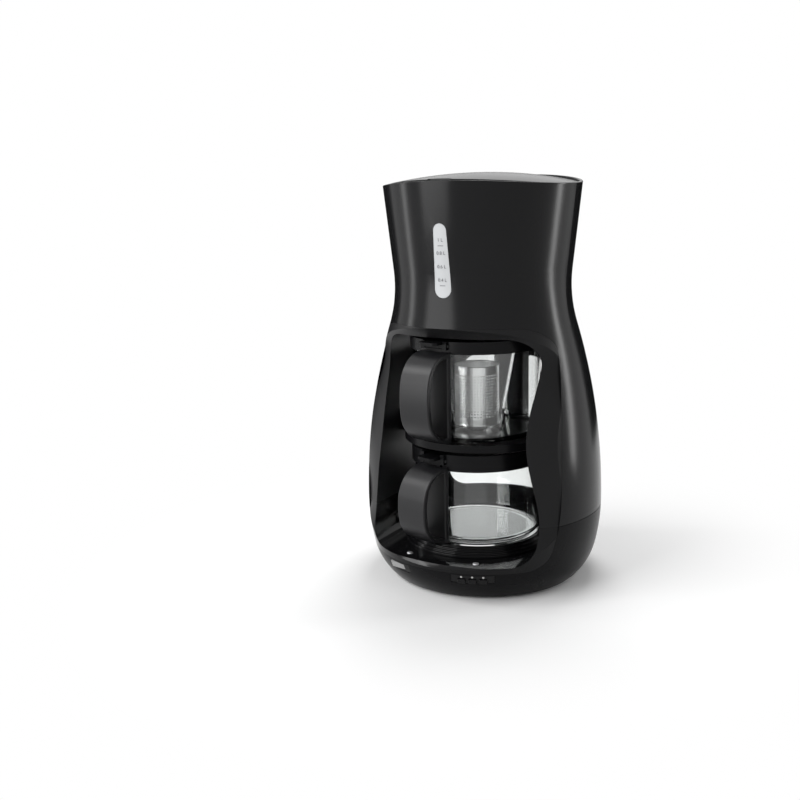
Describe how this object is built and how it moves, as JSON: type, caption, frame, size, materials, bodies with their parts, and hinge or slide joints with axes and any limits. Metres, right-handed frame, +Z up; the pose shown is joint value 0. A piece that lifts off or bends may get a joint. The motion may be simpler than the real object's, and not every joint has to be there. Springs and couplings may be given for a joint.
{
  "type": "automatic tea maker",
  "caption": "Hourglass tea maker: lidded water tank over a tunnel with a brewing jug on a shelf above a serving jug on a warming plate, switch and push buttons in the base.",
  "frame": {"origin": "on the floor under the casing's axis", "axes": "+Z up, -Y towards the front with the controls, +X to the right as seen from the front"},
  "size_m": [0.221, 0.2162, 0.3726],
  "materials": {
    "gloss_black": "gloss black moulded plastic",
    "black_plastic": "satin black moulded plastic",
    "frosted_gauge": "frosted pale plastic",
    "clear_glass": "clear heat-proof glass",
    "clear_plastic": "clear moulded plastic",
    "tank_plastic": "translucent tank plastic",
    "steel": "stainless steel",
    "plate_steel": "brushed warming plate",
    "cast_alloy": "cast aluminium",
    "rubber": "soft black rubber",
    "silicone": "pale silicone hose",
    "switch_light": "pale lit rocker",
    "light_plastic": "pale light guide",
    "board": "glass fibre board",
    "coil": "wound coil in a plastic frame"
  },
  "bodies": {
    "housing": {"casing_shell": "gloss_black", "level_window": "frosted_gauge", "right_liner": "gloss_black", "left_liner": "gloss_black", "ceiling_panel": "gloss_black", "tray": "gloss_black", "base_bowl": "gloss_black", "bottom_plate": "black_plastic", "bottom_screw_1": "steel", "bottom_screw_2": "steel", "bottom_screw_3": "steel", "bottom_screw_4": "steel", "rubber_foot_1": "rubber", "rubber_foot_2": "rubber", "rubber_foot_3": "rubber", "rubber_foot_4": "rubber", "switch_frame": "black_plastic", "rocker_pin": "steel", "button_panel": "black_plastic", "light_guide": "light_plastic", "control_board": "board", "cord_gland": "rubber", "warming_plate": "plate_steel", "plate_ring": "black_plastic", "heater_casting": "cast_alloy", "heater_water_tube": "cast_alloy", "heating_rod": "steel", "heater_clamp": "steel", "thermostat": "steel", "water_tank": "tank_plastic", "tank_lid_pin": "steel", "hot_riser": "silicone", "cold_hose": "silicone", "check_valve": "light_plastic", "shower_head": "black_plastic", "jug_shelf": "black_plastic", "lifter_solenoid": "coil", "valve_column": "black_plastic"},
    "tank_lid": {"tank_lid": "black_plastic"},
    "mains_rocker": {"rocker_switch": "switch_light"},
    "push_button_1": {"button_1": "black_plastic"},
    "push_button_2": {"button_2": "black_plastic"},
    "push_button_3": {"button_3": "black_plastic"},
    "brew_jug": {"brew_glass": "clear_glass", "brew_collar": "black_plastic", "brew_handle": "black_plastic", "brew_handle_screw": "steel", "brew_lid_pin": "steel", "drain_seat": "silicone", "infuser_funnel": "clear_plastic", "infuser_sieve": "steel"},
    "brew_lid": {"brew_lid": "black_plastic"},
    "drain_plunger": {"drain_plunger": "black_plastic"},
    "serving_jug": {"serving_glass": "clear_glass", "serving_collar": "black_plastic", "serving_handle": "black_plastic", "serving_handle_screw": "steel", "serving_lid_pin": "steel"},
    "serving_lid": {"serving_lid": "black_plastic"},
    "drain_lifter": {"drain_lifter": "steel"}
  },
  "joints": [
    {"name": "tank_lid_hinge", "type": "hinge", "parent": "housing", "child": "tank_lid", "pos_m": [0, 0.075, 0.366], "axis": [-1, 0, 0], "range_deg": [0, 90]},
    {"name": "mains_rocker_hinge", "type": "hinge", "parent": "housing", "child": "mains_rocker", "pos_m": [-0.0425, -0.09193, 0.0236], "axis": [0.1423, 0.3353, -0.9313], "range_deg": [0, 12]},
    {"name": "button_1_press", "type": "slide", "parent": "housing", "child": "push_button_1", "axis": [-0.219, 0.9052, 0.3642], "range_m": [0, 0.0012], "stiffness_N_per_m": 300},
    {"name": "button_2_press", "type": "slide", "parent": "housing", "child": "push_button_2", "axis": [-0.3032, 0.8806, 0.3642], "range_m": [0, 0.0012], "stiffness_N_per_m": 300},
    {"name": "button_3_press", "type": "slide", "parent": "housing", "child": "push_button_3", "axis": [-0.3847, 0.8481, 0.3642], "range_m": [0, 0.0012], "stiffness_N_per_m": 300},
    {"name": "brew_jug_slide", "type": "slide", "parent": "housing", "child": "brew_jug", "axis": [0, -1, 0], "range_m": [0, 0.24]},
    {"name": "serving_jug_slide", "type": "slide", "parent": "housing", "child": "serving_jug", "axis": [0, -1, 0], "range_m": [0, 0.24]},
    {"name": "brew_lid_hinge", "type": "hinge", "parent": "brew_jug", "child": "brew_lid", "pos_m": [-0.01206, -0.07329, 0.2246], "axis": [0.9799, -0.1994, 0], "range_deg": [0, 2.5]},
    {"name": "serving_lid_hinge", "type": "hinge", "parent": "serving_jug", "child": "serving_lid", "pos_m": [-0.01566, -0.07244, 0.1209], "axis": [0.9659, -0.2588, 0], "range_deg": [0, 5]},
    {"name": "drain_lifter_lift", "type": "slide", "parent": "housing", "child": "drain_lifter", "axis": [0, 0, 1], "range_m": [0, 0.003]},
    {"name": "drain_plunger_lift", "type": "slide", "parent": "brew_jug", "child": "drain_plunger", "axis": [0, 0, 1], "range_m": [0, 0.003]}
  ],
  "couplings": [
    {"joint": "drain_plunger_lift", "follows": "drain_lifter_lift", "ratio": 1}
  ]
}
